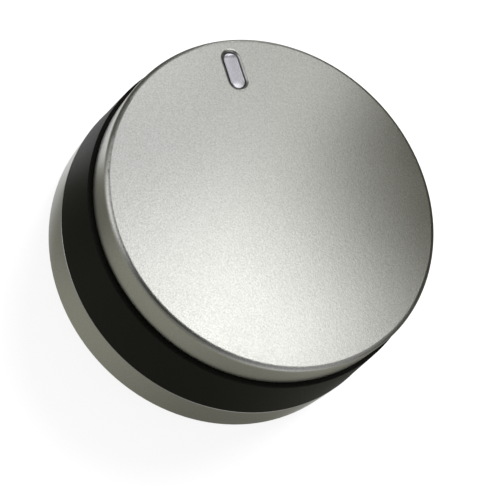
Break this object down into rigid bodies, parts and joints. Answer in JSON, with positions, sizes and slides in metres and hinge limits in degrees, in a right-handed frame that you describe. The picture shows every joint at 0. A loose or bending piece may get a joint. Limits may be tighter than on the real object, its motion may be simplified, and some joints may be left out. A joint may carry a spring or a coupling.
{
  "type": "control knob",
  "caption": "Round appliance control knob: flat silver face with a pointer insert, black grip band, silver rear ring, and a ribbed hub with a sprung D-shaped spindle bore.",
  "frame": {"origin": "on the knob's axis, in the plane of its rear rim, which is the centre of the bottom of its bounding box", "axes": "+Z runs along the axis from the rear rim to the face, and the pointer is at +Y"},
  "size_m": [0.045, 0.045, 0.019],
  "materials": {
    "silver_face": "moulded plastic with a fine-grained metallic silver finish",
    "pointer": "glossy silver-grey plastic",
    "black_moulding": "matte moulded plastic with a fine spark-eroded grain",
    "spring_steel": "rolled spring steel",
    "silver_trim": "moulded plastic with a satin metallic silver finish"
  },
  "bodies": {
    "root": {"front_cap": "silver_face", "pointer_insert": "pointer", "body": "black_moulding", "shaft_spring": "spring_steel", "base_ring": "silver_trim"}
  },
  "joints": []
}
